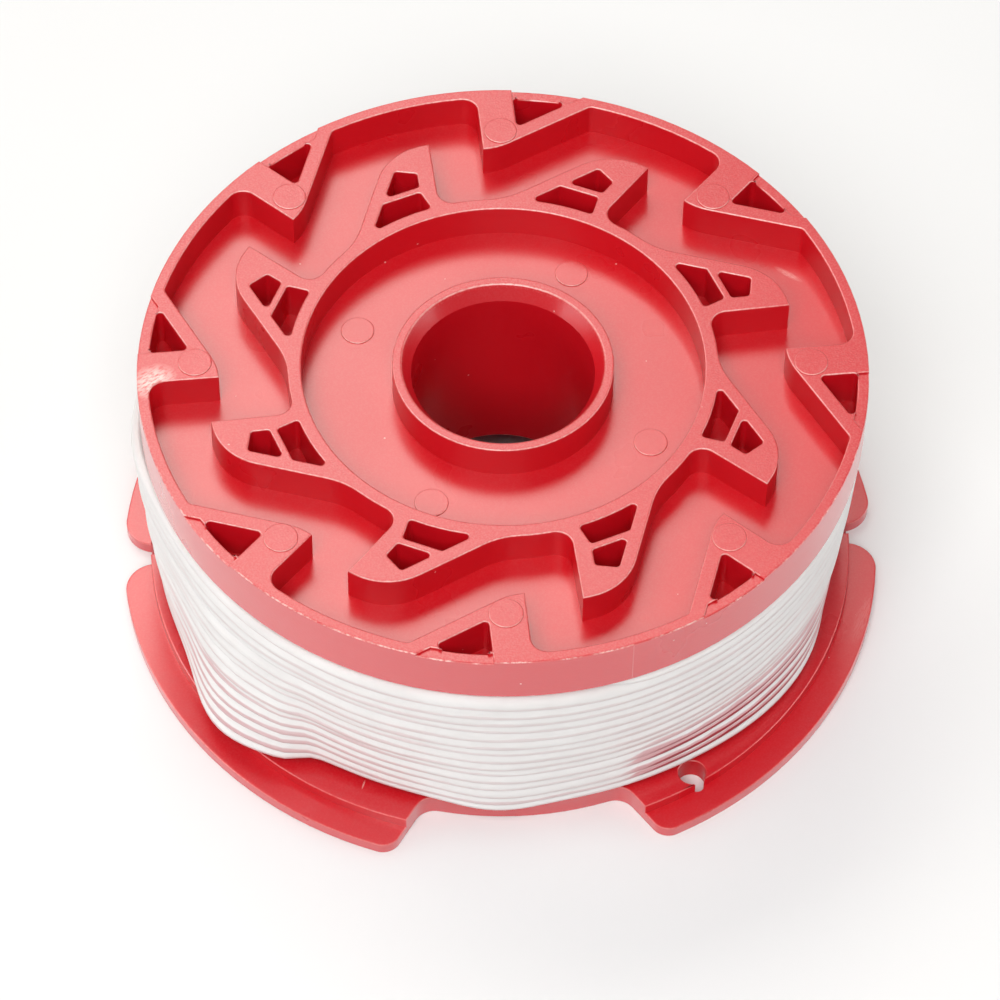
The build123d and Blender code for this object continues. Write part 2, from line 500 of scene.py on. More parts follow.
@dataclass(frozen=True)
class Scuff:
    """Where a level face is rubbed, in millimetres, with the patch's long side turned by degrees."""

    x: float
    y: float
    level: Level
    length: float
    width: float
    turn: float
    strength: float
    half_depth: float = 0.3

    def share(self, graph: Graph, tree: bpy.types.NodeTree, place: Socket) -> Socket:
        """How rubbed a place is.

        Args:
            graph: The material's graph.
            tree: The node group of a rubbed patch.
            place: The place on the moulding.

        Returns:
            A socket with values from 0 to the patch's strength.
        """
        inputs = {
            "Place": place,
            "Centre": (self.x * MM, self.y * MM, self.level.metres),
            "Turn": -math.radians(self.turn),
            "Half Size": (0.5 * self.length * MM, 0.5 * self.width * MM, self.half_depth * MM),
        }
        return graph.times(graph.group(tree, inputs)["Share"], self.strength)


@dataclass(frozen=True)
class RedPlastic:
    """Satin red plastic as it leaves the mould: fine grain, edge flash with painted highlight, scuffs and
    dust.
    """

    name: str = "red_plastic"
    colour: Colour = (0.635, 0.0063, 0.015, 1.0)
    deep_share: float = 0.93
    # Pale colour of the dust, seam, scuffs and speckle, and of the painted edge highlight.
    pale: Colour = (0.95, 0.62, 0.57, 1.0)
    roughness: Span = Span(0.26, 0.35)
    wear_and_highlight_roughness: float = 0.2
    specular: float = 0.3
    polish_ior: float = 2.0
    polish_roughness: float = 0.25
    subsurface_weight: float = 0.2
    subsurface_radius: Point = (1.0, 0.15, 0.15)
    subsurface_scale: float = 0.6 * MM
    tone: Pattern = Pattern(60.0, 2.0)
    speckle: Pattern = Pattern(4200.0, 1.0, Span(0.40, 0.70))
    speckle_share: Span = Span(0.02, 0.08)
    gloss: Pattern = Pattern(90.0, 3.0, Span(0.3, 0.7))
    fine_grain: Pattern = Pattern(3200.0, 2.0)
    tooth_grain: Pattern = Pattern(4600.0, 1.0)
    tooth_grain_height: float = 2.2
    flash_height: float = 2.0
    bump_strength: float = 0.2
    bump_distance: float = 0.05 * MM
    seam_share: float = 0.15
    scuffs: tuple[Scuff, ...] = (
        Scuff(-40.0, -3.6, Level.TOOTH_TOP, 6.2, 5.0, 40.0, 0.95),
        Scuff(33.4, 17.5, Level.TRACK_FLOOR, 4.2, 0.9, -35.0, 0.45),
        Scuff(-15.4, -36.0, Level.PLATE, 1.5, 0.25, 75.0, 0.8),
        Scuff(43.6, -10.0, Level.LIP, 9.0, 2.2, 70.0, 0.1),
    )

    def wear_and_highlight_share(self, graph: Graph, place: Socket, flash_and_highlight: Socket, seam: Socket) -> Socket:
        """How pale a place is: the most of the edge flash and painted highlight, the dust, the seam and
        the scuffs.

        Args:
            graph: The material's graph.
            place: The place on the moulding.
            flash_and_highlight: The share of edge flash and painted highlight there.
            seam: One on the mould seam.

        Returns:
            A socket with values from 0 to 1.
        """
        dust = graph.group(DustSpecks().tree(), {"Place": place})["Share"]
        wear_and_highlight = graph.math("MAXIMUM", flash_and_highlight, dust)
        wear_and_highlight = graph.math("MAXIMUM", wear_and_highlight, graph.times(seam, self.seam_share))
        patch = RubbedPatch().tree()
        for scuff in self.scuffs:
            wear_and_highlight = graph.math("MAXIMUM", wear_and_highlight, scuff.share(graph, patch, place))
        return wear_and_highlight

    def tint(self, graph: Graph, place: Socket, lying: Socket, tooth_top: Socket) -> Socket:
        """The unworn colour: a slow change of tone, with pale speckle on level faces.

        Args:
            graph: The material's graph.
            place: The place on the moulding.
            lying: One on level faces.
            tooth_top: One on the tooth tops, which have the most speckle.

        Returns:
            The colour's socket.
        """
        deep = tuple(self.deep_share * part for part in self.colour[:3]) + (1.0,)
        tone = graph.blend(self.tone.value(graph, place), deep, self.colour)
        amount = graph.times(lying, graph.spread(tooth_top, WHOLE, self.speckle_share))
        return graph.blend(graph.times(self.speckle.value(graph, place), amount), tone, self.pale)

    def relief(self, graph: Graph, place: Socket, flash_and_highlight: Socket, tooth_top: Socket) -> Socket:
        """The fine relief: the sum of the mould's grain, the tooth tops' grain and the edge flash and
        highlight mask.

        Args:
            graph: The material's graph.
            place: The place on the moulding.
            flash_and_highlight: The share of edge flash and painted highlight there.
            tooth_top: One on the tooth tops.

        Returns:
            The normal's socket.
        """
        fine = self.fine_grain.value(graph, place)
        coarse = graph.times(self.tooth_grain.value(graph, place), tooth_top)
        grain = graph.math("ADD", fine, graph.times(coarse, self.tooth_grain_height))
        height = graph.math("ADD", grain, graph.times(flash_and_highlight, self.flash_height))
        inputs = {"Height": height, "Strength": self.bump_strength, "Distance": self.bump_distance}
        return graph.add("ShaderNodeBump", inputs).outputs[0]

    def make(self) -> bpy.types.Material:
        """Builds the material.

        Returns:
            The material, on Object coordinates and the moulding's two masks.
        """
        constants = {
            "Specular IOR Level": self.specular,
            "Coat IOR": self.polish_ior,
            "Coat Roughness": self.polish_roughness,
            "Subsurface Weight": self.subsurface_weight,
            "Subsurface Radius": self.subsurface_radius,
            "Subsurface Scale": self.subsurface_scale,
        }
        material, graph, shader = new_material(self.name, constants)
        place = graph.add("ShaderNodeTexCoord").outputs["Object"]
        edge, upright = graph.attribute("flash_and_highlight_edge"), graph.attribute("upright")
        spots = graph.group(SpoolPlaces().tree(), {"Place": place, "Upright": upright})
        flash_inputs = {"Place": place, "Edge": edge, "Radius": spots["Radius"]}
        # The edge share is partly mould flash and partly a painted highlight; it pales the base colour
        # below.
        flash_and_highlight = graph.group(EdgeFlashAndHighlight().tree(), flash_inputs)["Share"]
        wear_and_highlight = self.wear_and_highlight_share(graph, place, flash_and_highlight, spots["Seam"])
        tint = self.tint(graph, place, graph.math("SUBTRACT", 1.0, upright), spots["Tooth Top"])
        gloss = self.gloss.value(graph, place, self.roughness)
        links = {
            "Base Color": graph.blend(wear_and_highlight, tint, self.pale),
            "Roughness": graph.math("ADD", gloss, graph.times(wear_and_highlight, self.wear_and_highlight_roughness)),
            "Normal": self.relief(graph, place, flash_and_highlight, spots["Tooth Top"]),
            "Coat Weight": spots["Polish"],
        }
        for label, value in links.items():
            graph.join(value, shader.inputs[label])
        return material


@dataclass(frozen=True)
class PaintedUndersideLight:
    """A red painted on the line's lower side: a painted reflection of the red body, or painted shade.

    It comes in over a range of the painted_underside attribute. Its edge, as a share of the way round
    from the underside, moves over a range meanwhile, sways along the line and is softened.
    """

    painted_underside_range: Span
    edges: Span
    sway: float
    softness: float
    colour: Colour


@dataclass(frozen=True)
class NylonLine:
    """Clear white nylon: milky and softly glossy, with painted red reflection and shade on its lower side.
    """

    name: str = "nylon_line"
    colour: Colour = (0.80, 0.78, 0.77, 1.0)
    dull: Colour = (0.745, 0.72, 0.71, 1.0)
    roughness: float = 0.36
    subsurface_weight: float = 0.3
    subsurface_radius: Point = (1.0, 0.92, 0.9)
    subsurface_scale: float = 0.4 * MM
    sway: Pattern = Pattern(100.0, 3.0, Span(0.3, 0.7))
    milk: Pattern = Pattern(130.0, 3.0, Span(0.35, 0.65))
    milk_slant: float = 10.0 * MM
    quarter_turn: float = 0.25
    reds: tuple[PaintedUndersideLight, ...] = (
        # Painted pink reflection and bounce light from the red flange below.
        PaintedUndersideLight(
            painted_underside_range=Span(0.0, 0.5),
            edges=Span(0.19, 0.30),
            sway=0.045,
            softness=0.02,
            colour=(0.64, 0.39, 0.405, 1.0),
        ),
        # Painted dark red shade in the open rows low on the right.
        PaintedUndersideLight(
            painted_underside_range=Span(0.5, 1.0),
            edges=Span(0.17, 0.25),
            sway=0.03,
            softness=0.012,
            colour=(0.34, 0.02, 0.032, 1.0),
        ),
    )

    def lower_side(self) -> bpy.types.NodeTree:
        """A node group that is one on the line's lower side and falls to nought at an edge.

        Returns:
            The group, from the place across the line, with 0 outwards and 0.25 up, and from the
            edge and its softness, as shares of the way round from the underside.
        """
        inputs = {"Across": "Float", "Edge": "Float", "Softness": "Float"}
        graph, given, result = node_group("line_lower_side", inputs, ("Share",))
        edge, softness = given.outputs["Edge"], given.outputs["Softness"]
        from_under = graph.math("FRACT", graph.math("ADD", given.outputs["Across"], self.quarter_turn))
        start, end = graph.math("SUBTRACT", edge, softness), graph.math("ADD", edge, softness)
        fade_inputs = {0: from_under, 1: start, 2: end, 3: 1.0, 4: 0.0}
        fade = graph.add("ShaderNodeMapRange", fade_inputs, interpolation_type="SMOOTHSTEP")
        graph.join(fade.outputs[0], result.inputs["Share"])
        return graph.tree

    def make(self) -> bpy.types.Material:
        """Builds the material.

        Returns:
            The material, on the line's own UV map and its painted_underside attribute.
        """
        constants = {
            "Roughness": self.roughness,
            "Subsurface Weight": self.subsurface_weight,
            "Subsurface Radius": self.subsurface_radius,
            "Subsurface Scale": self.subsurface_scale,
        }
        material, graph, shader = new_material(self.name, constants)
        run = graph.axes(graph.add("ShaderNodeTexCoord").outputs["UV"])
        painted_underside = graph.attribute("painted_underside")
        along = graph.add("ShaderNodeCombineXYZ", {"X": run["X"]}).outputs[0]
        sway = self.sway.value(graph, along, Span(-1.0, 1.0))
        aslant_inputs = {"X": run["X"], "Y": graph.times(run["Y"], self.milk_slant)}
        aslant = graph.add("ShaderNodeCombineXYZ", aslant_inputs).outputs[0]
        colour = graph.blend(self.milk.value(graph, aslant), self.colour, self.dull)
        lower_side = self.lower_side()
        # Paints red reflection and shade onto the line's lower side.
        for red in self.reds:
            middle = graph.spread(painted_underside, red.painted_underside_range, red.edges)
            edge = graph.math("ADD", middle, graph.times(sway, red.sway))
            side_inputs = {"Across": run["Y"], "Edge": edge, "Softness": red.softness}
            side = graph.group(lower_side, side_inputs)["Share"]
            colour = graph.blend(graph.times(graph.spread(painted_underside, red.painted_underside_range), side), colour, red.colour)
        graph.join(colour, shader.inputs["Base Color"])
        return material


class Borders(NamedTuple):
    """The edges between level faces and walls: arrays with one entry for each edge.

    They hold the edge's first and last vertex, the unit vectors into the level face, along the wall
    and out of the wall, and the radius of the rounding.
    """

    start: np.ndarray
    end: np.ndarray
    inward: np.ndarray
    down: np.ndarray
    outward: np.ndarray
    radius: np.ndarray


class Corners(NamedTuple):
    """The vertices on the borders: arrays with one entry for each vertex.

    They hold the vertex, the places of the level face's and of the wall's new corner, how pale the
    rounding is there, and whether it is left square.
    """

    vertex: np.ndarray
    inset: np.ndarray
    lowered: np.ndarray
    pale: np.ndarray
    square: np.ndarray


class RoundedSolid(NamedTuple):
    """A solid with rounded edges: its mesh, how pale each vertex is and each triangle's kind."""

    points: np.ndarray
    faces: np.ndarray
    pale: np.ndarray
    kind: np.ndarray


@dataclass
class MouldedBody:
    """The red moulding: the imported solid, with its edges rounded as a mould leaves them."""

    node: str = "spool_body"
    weld_distance: float = 1e-6
    level_cosine: float = 0.999
    lying_cosine: float = 0.5
    edge_radius: float = 0.17 * MM
    wall_share: float = 0.85
    strips: int = 3
    soft_angle: float = math.radians(50.0)
    sharp_angle: float = math.radians(30.0)
    # Share of the pale edge on roundings that face the back; the rest, up to all of it on those facing the
    # front, is a painted highlight.
    back_edge: float = 0.25
    longest_mitre: float = 2.0
    straight_turn: float = 0.97

    def welded(self) -> tuple[np.ndarray, np.ndarray]:
        """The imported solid's triangles with their shared corners joined.

        Returns:
            Vertex places and triangles.
        """
        work = bmesh.new()
        work.from_mesh(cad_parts[self.node].data)
        bmesh.ops.remove_doubles(work, verts=work.verts, dist=self.weld_distance)
        joined = bpy.data.meshes.new("joined")
        work.to_mesh(joined)
        work.free()
        points = np.empty(len(joined.vertices) * 3)
        joined.vertices.foreach_get("co", points)
        corners = np.empty(len(joined.polygons) * 3, dtype=np.int64)
        joined.polygons.foreach_get("vertices", corners)
        bpy.data.meshes.remove(joined)
        return points.reshape(-1, 3), corners.reshape(-1, 3)

    def borders(
        self, points: np.ndarray, faces: np.ndarray, normal: np.ndarray, level: np.ndarray
    ) -> Borders:
        """Finds the edges between level faces and walls.

        Each triangle's edge has a twin, which runs the other way in the next triangle. The radius
        is the edge radius, or a share of the wall's height where that is less, and it is nought
        where the faces meet at a soft angle or in a hollow.

        Args:
            points: Vertex places.
            faces: Triangles.
            normal: Unit normal of each triangle.
            level: True for each level triangle.

        Returns:
            The edges, each in the direction in which it runs round its level face.
        """
        start = faces.ravel()
        end = np.roll(faces, -1, axis=1).ravel()
        third = np.roll(faces, -2, axis=1).ravel()
        owner = np.repeat(np.arange(len(faces)), 3)
        key = start * len(points) + end
        order = np.argsort(key)
        twin = order[np.searchsorted(key[order], end * len(points) + start)]
        chosen = level[owner] & ~level[owner[twin]]
        start, end, cap = start[chosen], end[chosen], owner[chosen]
        wall, tip = owner[twin][chosen], third[twin][chosen]

        way = points[end] - points[start]
        way /= np.linalg.norm(way, axis=1, keepdims=True)
        inward = np.cross(normal[cap], way)
        down = np.cross(normal[wall], -way)
        height = dots(points[tip] - points[start], down)
        radius = np.minimum(self.edge_radius, self.wall_share * height)
        soft = dots(normal[cap], normal[wall]) > math.cos(self.soft_angle)
        hollow = dots(normal[cap], down) > 0.0
        radius[soft | hollow] = 0.0
        return Borders(start, end, inward, down, normal[wall], radius)

    def corners(self, points: np.ndarray, borders: Borders) -> Corners:
        """Moves each vertex on a border, from the two edges that meet there.

        The level face's corner moves to where the two insets meet, but no further than the longest
        mitre, and by an even share of both where the edges run on almost straight. The wall's corner
        slides along the wall by the mean of the two radii, or by one where only that edge is rounded.
        A vertex where several borders meet stays square.

        Args:
            points: Vertex places.
            borders: The edges.

        Returns:
            The vertices and their new corners.
        """
        numbers = np.arange(len(borders.start))
        leaving = np.full(len(points), -1)
        leaving[borders.start] = numbers
        coming = np.full(len(points), -1)
        coming[borders.end] = numbers
        vertex = np.unique(borders.start)
        last, following = coming[vertex], leaving[vertex]
        single = np.bincount(borders.start, minlength=len(points))[vertex] == 1
        before, after = borders.radius[last] * single, borders.radius[following] * single

        turn = dots(borders.inward[last], borders.inward[following])
        bend = np.maximum(1.0 - turn**2, TINY)
        straight = turn > self.straight_turn
        even = 0.5 * (before + after) / (1.0 + turn + TINY)
        first = np.where(straight, even, (before - turn * after) / bend)
        second = np.where(straight, even, (after - turn * before) / bend)
        mitre = borders.inward[last] * first[:, None] + borders.inward[following] * second[:, None]
        length = np.maximum(np.linalg.norm(mitre, axis=1), TINY)
        mitre *= np.minimum(1.0, self.longest_mitre * self.edge_radius / length)[:, None]

        shared = np.where((before > 0.0) & (after > 0.0), 0.5, 1.0)[:, None]
        slide = borders.down[last] * before[:, None] + borders.down[following] * after[:, None]
        # Painted highlight: roundings on walls that face the front get paler, as if lit by the front
        # light, from any view.
        toward = np.clip(-0.5 * (borders.outward[last] + borders.outward[following])[:, 1], 0.0, 1.0)
        pale = self.back_edge + (1.0 - self.back_edge) * toward
        square = (before == 0.0) & (after == 0.0)
        return Corners(vertex, points[vertex] + mitre, points[vertex] + slide * shared, pale, square)

    def rounded(self, points: np.ndarray, faces: np.ndarray) -> RoundedSolid:
        """Rounds every outer edge between a level face and a wall.

        The level face's border moves inwards by the radius, the wall's border moves the same way
        along the wall, and a strip on the parabola through the inset point, with the old corner
        as its control point, joins the two.

        Args:
            points: Vertex places.
            faces: Triangles.

        Returns:
            The rounded solid. Its vertices are pale on the roundings alone, and most on those that
            face the front, which is a painted highlight.
        """
        normal = crossed(points, faces)
        normal /= np.linalg.norm(normal, axis=1, keepdims=True)
        level = np.abs(normal[:, 2]) > self.level_cosine
        borders = self.borders(points, faces, normal, level)
        vertex, inset, lowered, pale, square = self.corners(points, borders)

        share = (np.arange(self.strips) / self.strips)[:, None, None]
        rows = (1 - share) ** 2 * inset + 2 * share * (1 - share) * points[vertex] + share**2 * lowered
        moved = points.copy()
        moved[vertex] = lowered
        everything = np.vstack([moved, rows.reshape(-1, 3)])
        added = len(points) + np.arange(self.strips * len(vertex))
        index = np.tile(np.arange(len(points)), (self.strips + 1, 1))
        index[: self.strips, vertex] = added.reshape(self.strips, -1)
        index[: self.strips, vertex[square]] = vertex[square]

        solid = faces.copy()
        solid[level] = index[0][faces[level]]
        pieces = [solid]
        for near, far in zip(index, index[1:]):
            pieces.append(np.stack([near[borders.end], near[borders.start], far[borders.start]], axis=1))
            pieces.append(np.stack([near[borders.end], far[borders.start], far[borders.end]], axis=1))
        joined = np.vstack(pieces)
        kind = np.full(len(joined), FaceKind.ROUNDING.value)
        kind[: len(faces)] = np.where(level, FaceKind.LEVEL.value, FaceKind.WALL.value)
        whole = (joined != np.roll(joined, -1, axis=1)).all(axis=1)
        edge = np.zeros(len(everything))
        edge[len(points) + len(vertex) :] = np.tile(pale, self.strips - 1)
        used, compact = np.unique(joined[whole], return_inverse=True)
        return RoundedSolid(everything[used], compact.reshape(-1, 3), edge[used], kind[whole])

    def split_shading(self, mesh: bpy.types.Mesh, kind: np.ndarray) -> None:
        """Marks as sharp each edge between triangles of two kinds, so that flat faces stay flat.

        Args:
            mesh: The rounded mesh.
            kind: The kind of each triangle.
        """
        mesh.set_sharp_from_angle(angle=self.sharp_angle)
        edge = np.empty(len(kind) * 3, dtype=np.int32)
        mesh.loops.foreach_get("edge_index", edge)
        least = np.full(len(mesh.edges), kind.max())
        most = np.full(len(mesh.edges), kind.min())
        np.minimum.at(least, edge, np.repeat(kind, 3))
        np.maximum.at(most, edge, np.repeat(kind, 3))
        sharp = np.empty(len(mesh.edges), dtype=bool)
        mesh.edges.foreach_get("use_edge_sharp", sharp)
        mesh.edges.foreach_set("use_edge_sharp", sharp | (least != most))

    def build(self) -> bpy.types.Object:
        """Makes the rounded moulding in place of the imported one.

        Returns:
            The piece.
        """
        solid = self.rounded(*self.welded())
        piece = mesh_object("moulded_body", solid.points, solid.faces.tolist())
        # Edge paleness: partly mould flash, partly a painted highlight that is strongest on front-facing
        # edges.
        wear_and_highlight = piece.data.attributes.new("flash_and_highlight_edge", "FLOAT", "POINT")
        wear_and_highlight.data.foreach_set("value", solid.pale)
        normal = crossed(solid.points, solid.faces)
        lying = np.abs(normal[:, 2]) > self.lying_cosine * np.linalg.norm(normal, axis=1)
        upright = piece.data.attributes.new("upright", "FLOAT", "FACE")
        upright.data.foreach_set("value", (~lying).astype(float))
        self.split_shading(piece.data, solid.kind)
        weighted = piece.modifiers.new("level_faces_stay_flat", "WEIGHTED_NORMAL")
        weighted.keep_sharp = True
        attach(piece, "root")
        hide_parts(self.node)
        return piece

    def dress(self, piece: bpy.types.Object) -> None:
        """Gives the moulding its finish."""
        piece.data.materials.append(RedPlastic().make())


@dataclass(frozen=True)
class Layer:
    """One layer of turns: how it is wound, in millimetres, and how finely it is drawn."""

    turns: float
    inset: float
    lift: float
    per_turn: int
    sides: int
    seed: int


class Run(NamedTuple):
    """Samples along the line: radius and height in millimetres, angle in radians, and painted red amount.
    """

    radius: np.ndarray
    angle: np.ndarray
    height: np.ndarray
    painted_underside: np.ndarray


@dataclass(frozen=True)
class PaintedUndersideAmount:
    """How much painted red reflection and shade the line's lower side takes, from 0 to 1.

    It is faint all over, stronger low on the left and along the second row in front, as a painted
    reflection of the red flange, and deepest in the open rows low on the right, as painted shade.
    The lowest row stays faint. Angles are in degrees, and heights are shares of the winding's height.
    """

    faint: float = 0.13
    most_soft: float = 0.5
    lowest_row: Step = Step(0.035, 0.01)
    second_row: Step = Step(0.10, 0.005)
    open_rows: Step = Step(0.34, 0.03)
    low_rows: Step = Step(0.42, 0.06)
    left: tuple[Bell, ...] = (Bell(0.42, -141.0, 11.0), Bell(0.126, -113.0, 8.0))
    front: Stretch = Stretch(Step(-104.0, 4.0), Step(-66.0, 4.0))
    front_amount: float = 0.2
    right: Stretch = Stretch(Step(-66.0, 2.0), Step(-8.0, 4.0))
    right_amount: float = 0.12

    def at(self, angles: np.ndarray, share: np.ndarray) -> np.ndarray:
        """Adds up the soft places, holds them, and takes the deep ones where they are more.

        Args:
            angles: Angles round the axis in degrees.
            share: Share of the winding's height, from 0 at the bottom.

        Returns:
            One value for each sample.
        """
        around = degrees_apart(angles, 0.0)
        above = self.lowest_row.at(share)
        right = self.right.at(around)
        left = sum(bell.at(angles) for bell in self.left)
        sides = self.low_rows.below(share) * (left + self.right_amount * right)
        front = self.front_amount * self.second_row.below(share) * self.front.at(around)
        soft = np.minimum(self.faint + (sides + front) * above, self.most_soft)
        return np.maximum(soft, self.open_rows.below(share) * right * above)


@dataclass
class WoundLine:
    """The nylon line, wound in two layers on the drum. Sizes are in millimetres and degrees."""

    node: str = "line_winding"
    line_radius: float = 0.80
    lowest: float = 3.96
    highest: float = 29.15
    layers: tuple[Layer, ...] = (
        Layer(turns=15.5, inset=0.0, lift=0.0, per_turn=220, sides=12, seed=11),
        Layer(turns=15.0, inset=1.5, lift=0.4, per_turn=160, sides=8, seed=23),
    )
    rises: tuple[float, ...] = (0.88, 1.38, 1.70, 0.88)
    rise_steps: tuple[Step, ...] = (Step(0.075, 0.012), Step(0.50, 0.10), Step(0.945, 0.006))
    top_radius: float = 41.0
    top_slack: Bell = Bell(1.3, -172.0, 9.0)
    side_radius: float = 40.3
    front_radius: float = 38.3
    front: Stretch = Stretch(Step(-124.5, 0.9), Step(-47.0, 7.0))
    bottom_bulges: tuple[Bell, ...] = (
        Bell(3.25, -137.5, 7.6),
        Bell(1.05, -90.0, 6.0),
        Bell(-1.4, -11.5, 8.2),
    )
    looseness: tuple[Bell, ...] = (Bell(0.32, -140.0, 12.0), Bell(0.34, -35.0, 14.0))
    flare: float = 1.4
    knots_per_turn: int = 5
    radius_wander: float = 0.10
    height_wander: float = 0.11
    end_radius: float = 37.6
    end_run: float = 25.0
    seam_angle: float = 90.0
    painted_underside: PaintedUndersideAmount = PaintedUndersideAmount()

    def bottom_row(self, angles: np.ndarray) -> np.ndarray:
        """Radius of the lowest turn: round at the back, flatter in front, plus its bulges.

        Args:
            angles: Angles round the axis in degrees.

        Returns:
            Radii to the line's middle.
        """
        around = degrees_apart(angles, 0.0)
        radius = self.side_radius + (self.front_radius - self.side_radius) * self.front.at(around)
        for bulge in self.bottom_bulges:
            radius += bulge.at(around)
        return radius

    def path(self, layer: Layer) -> Run:
        """One layer's helix: the angle grows evenly, and radius and height follow the row.

        The share of the height, from 0 at the lowest turn to 1 at the highest, blends the lowest
        row's radius into the top row's and spreads the lower rows where the turns are loose. At
        both ends the line dives to the end radius on a cosine.

        Args:
            layer: The layer to wind.

        Returns:
            The samples along the line.
        """
        samples = int(layer.turns * layer.per_turn)
        grown = np.linspace(0.0, 360.0 * layer.turns, samples)
        angles = self.seam_angle - grown
        share = np.linspace(0.0, 1.0, samples)
        loose = sum(bell.at(angles) for bell in self.looseness)
        spread = share + loose * share * (1.0 - share) ** 2
        height = self.lowest + layer.lift + (self.highest - self.lowest - 2.0 * layer.lift) * spread
        low, high = self.bottom_row(angles), self.top_radius + self.top_slack.at(angles)
        radius = high + (low - high) * (1.0 - share) ** self.flare
        spacing = layer.per_turn // self.knots_per_turn
        radius += smooth_wander(samples, spacing, self.radius_wander, layer.seed) - layer.inset
        height += smooth_wander(samples, spacing, self.height_wander, layer.seed + 1)
        ends = np.minimum(grown, grown[-1] - grown) / self.end_run
        dive = 0.5 + 0.5 * np.cos(np.pi * np.clip(ends, 0.0, 1.0))
        radius += (self.end_radius - radius) * dive
        height = np.clip(height, self.lowest, self.highest)
        return Run(radius, np.radians(angles), height, self.painted_underside.at(angles, share))

    def tube(self, run: Run, sides: int) -> tuple[np.ndarray, np.ndarray, np.ndarray]:
        """An upright oval section carried along the line: centre plus cosine outwards and sine up.

        The section's half height passes from each rise to the next at a step.

        Args:
            run: The samples along the line.
            sides: Number of sides of the section.

        Returns:
            Vertex places in metres, quads, and the UV place of each quad corner.
        """
        around = np.linspace(0.0, 2.0 * np.pi, sides, endpoint=False)
        share = (run.height - self.lowest) / (self.highest - self.lowest)
        rise = np.full(len(share), self.rises[0])
        for step, before, after in zip(self.rise_steps, self.rises, self.rises[1:]):
            rise += (after - before) * step.at(share)
        radius = run.radius[:, None] + self.line_radius * np.cos(around)
        height = run.height[:, None] + rise[:, None] * np.sin(around)
        x = radius * np.cos(run.angle)[:, None]
        y = radius * np.sin(run.angle)[:, None]
        points = np.stack([x, y, height], axis=2).reshape(-1, 3) * MM

        row = np.arange(len(share) - 1)[:, None] * sides
        side = np.arange(sides)
        beside = (side + 1) % sides
        quads = np.stack([row + side, row + beside, row + sides + beside, row + sides + side], axis=2)
        strides = np.hypot(np.diff(run.angle) * run.radius[1:], np.diff(run.height))
        length = np.cumsum(np.r_[0.0, strides]) * MM
        along = np.stack([length[:-1], length[:-1], length[1:], length[1:]], axis=1)
        across = np.stack([side, side + 1, side + 1, side], axis=1) / sides
        uv = np.empty((len(share) - 1, sides, 4, 2))
        uv[..., 0] = along[:, None, :]
        uv[..., 1] = across[None, :, :]
        return points, quads.reshape(-1, 4), uv.reshape(-1, 2)

    def build(self) -> bpy.types.Object:
        """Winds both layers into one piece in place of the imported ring.

        Returns:
            The piece.
        """
        points, faces, caps, places, painted_underside = [], [], [], [], []
        base = 0
        for layer in self.layers:
            run = self.path(layer)
            tube, quads, uv = self.tube(run, layer.sides)
            ring = np.arange(layer.sides)
            caps += [(base + ring[::-1]).tolist(), (base + len(tube) - layer.sides + ring).tolist()]
            points.append(tube)
            faces += (quads + base).tolist()
            places.append(uv)
            painted_underside.append(np.repeat(run.painted_underside, layer.sides))
            base += len(tube)
        places.append(np.zeros((sum(len(cap) for cap in caps), 2)))
        piece = mesh_object("wound_line", np.vstack(points), faces + caps)
        uv_map = piece.data.uv_layers.new(name="along_line")
        uv_map.data.foreach_set("uv", np.vstack(places).ravel())
        # Amount of painted red reflection and shade, one value for each vertex.
        tint = piece.data.attributes.new("painted_underside", "FLOAT", "POINT")
        tint.data.foreach_set("value", np.concatenate(painted_underside))
        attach(piece, "root")
        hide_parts(self.node)
        return piece

    def dress(self, piece: bpy.types.Object) -> None:
        """Gives the line its finish."""
        piece.data.materials.append(NylonLine().make())


@dataclass(frozen=True)
class SoftBox:
    """A rectangular studio light that faces the spool. Lengths are in metres, angles in degrees."""

    name: str
    azimuth: float
    elevation: float
    distance: float
    width: float
    depth: float
    radiance: float
    tint: Point

    def place(self) -> bpy.types.Object:
        """Hangs the light: its power is radiance times pi times its area.

        Returns:
            The light's object.
        """
        lamp = bpy.data.lights.new(self.name, "AREA")
        lamp.shape = "RECTANGLE"
        lamp.size = self.width
        lamp.size_y = self.depth
        lamp.energy = self.radiance * math.pi * self.width * self.depth
        lamp.color = self.tint
        holder = bpy.data.objects.new(self.name, lamp)
        bpy.context.scene.collection.objects.link(holder)
        turn, rise = math.radians(self.azimuth), math.radians(self.elevation)
        way = Vector((math.cos(turn) * math.cos(rise), math.sin(turn) * math.cos(rise), math.sin(rise)))
        holder.location = way * self.distance
        holder.rotation_euler = way.to_track_quat("Z", "Y").to_euler()
        return holder


